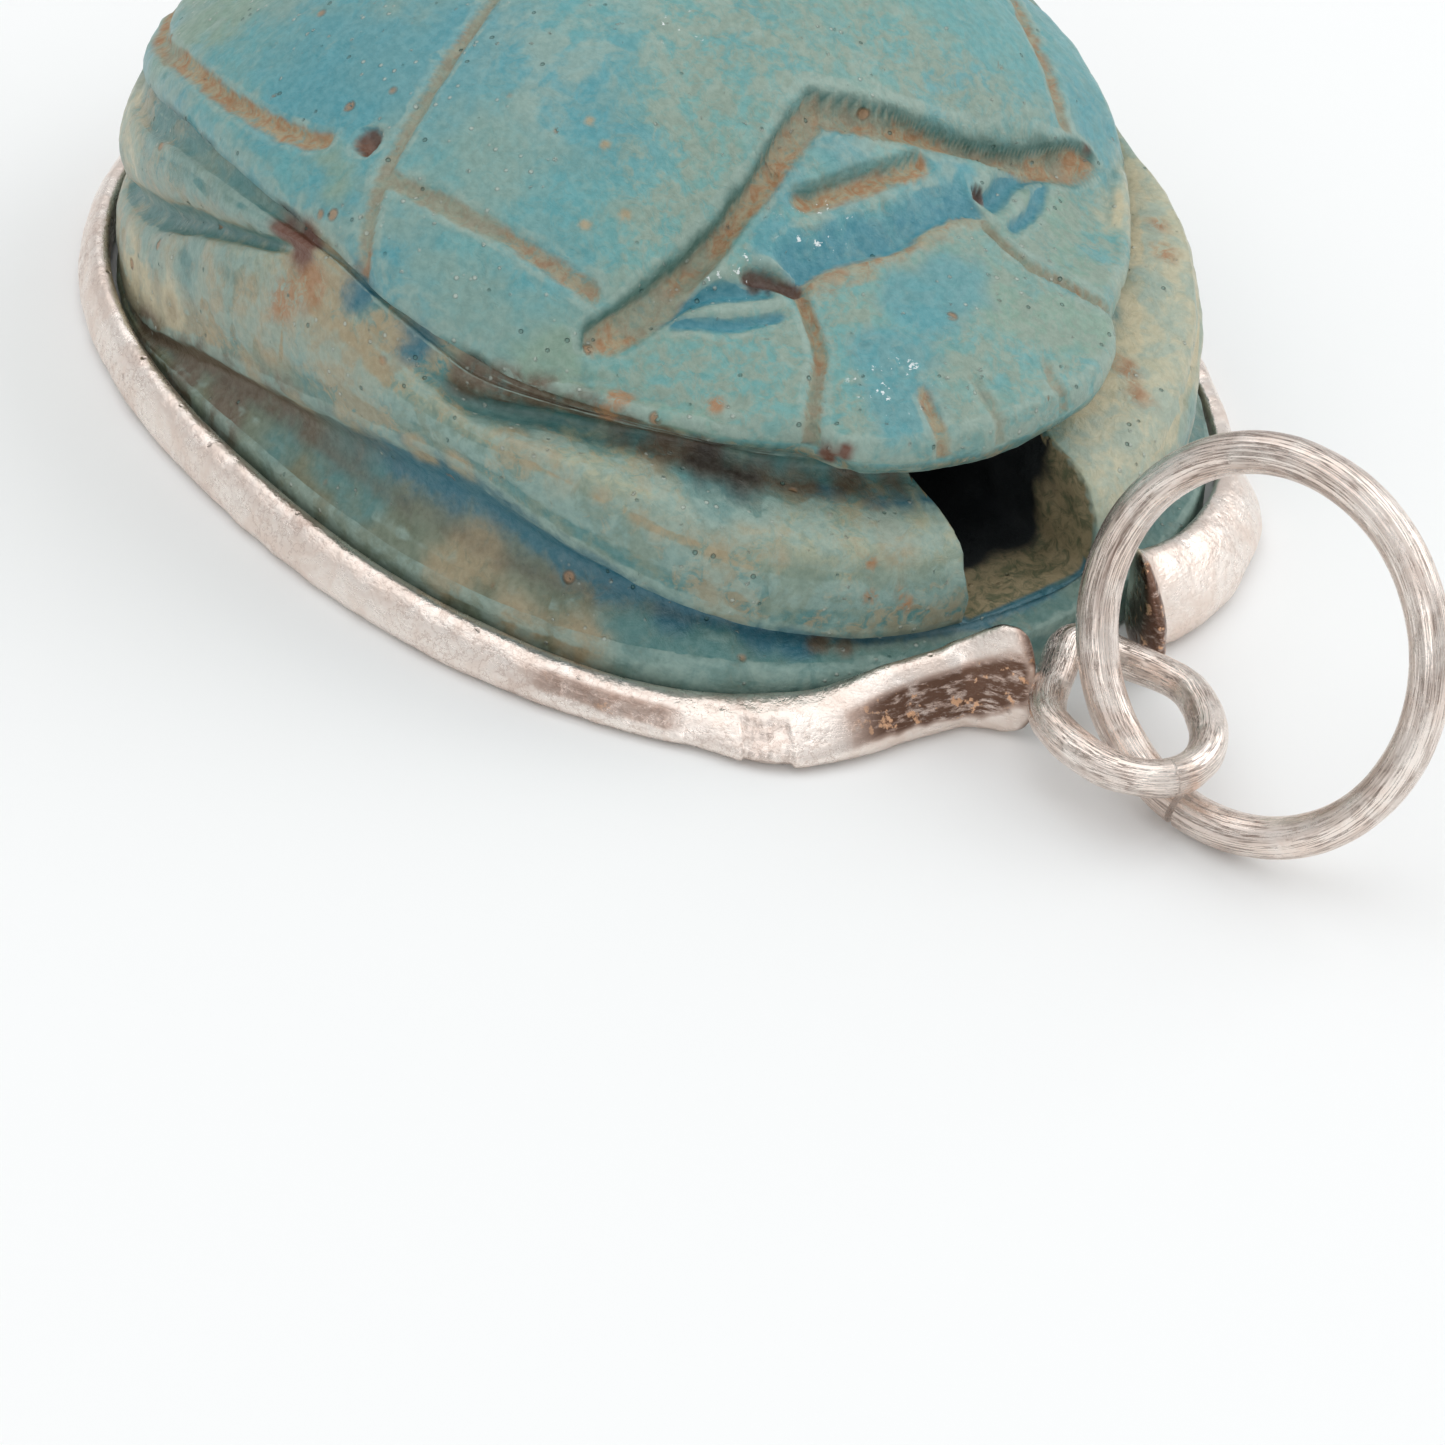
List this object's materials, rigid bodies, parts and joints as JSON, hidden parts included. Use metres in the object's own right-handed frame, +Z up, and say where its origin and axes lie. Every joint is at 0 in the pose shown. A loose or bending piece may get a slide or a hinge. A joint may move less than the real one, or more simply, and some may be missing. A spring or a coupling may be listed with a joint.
{
  "type": "scarab amulet",
  "caption": "Carved and glazed scarab amulet lying on its flat base, in a bent silver band with a soldered wire loop and a split jump ring for hanging.",
  "frame": {"origin": "middle of the scarab's flat underside", "axes": "+X along the body to the head and the hanging loop, +Y to the scarab's left, +Z up through its back"},
  "size_m": [0.0342, 0.02, 0.0097],
  "materials": {
    "turquoise_glaze": "worn mottled turquoise glaze with pits and tan deposit in the carving",
    "old_silver_band": "worn silver sheet, scratched, with brown tarnish",
    "old_silver_loop": "worn silver wire with solder and brown tarnish",
    "drawn_silver_wire": "drawn silver wire with lengthwise lines and brown tarnish"
  },
  "bodies": {
    "root": {"scarab": "turquoise_glaze", "silver_band": "old_silver_band", "bail_loop": "old_silver_loop", "jump_ring": "drawn_silver_wire"}
  },
  "joints": []
}
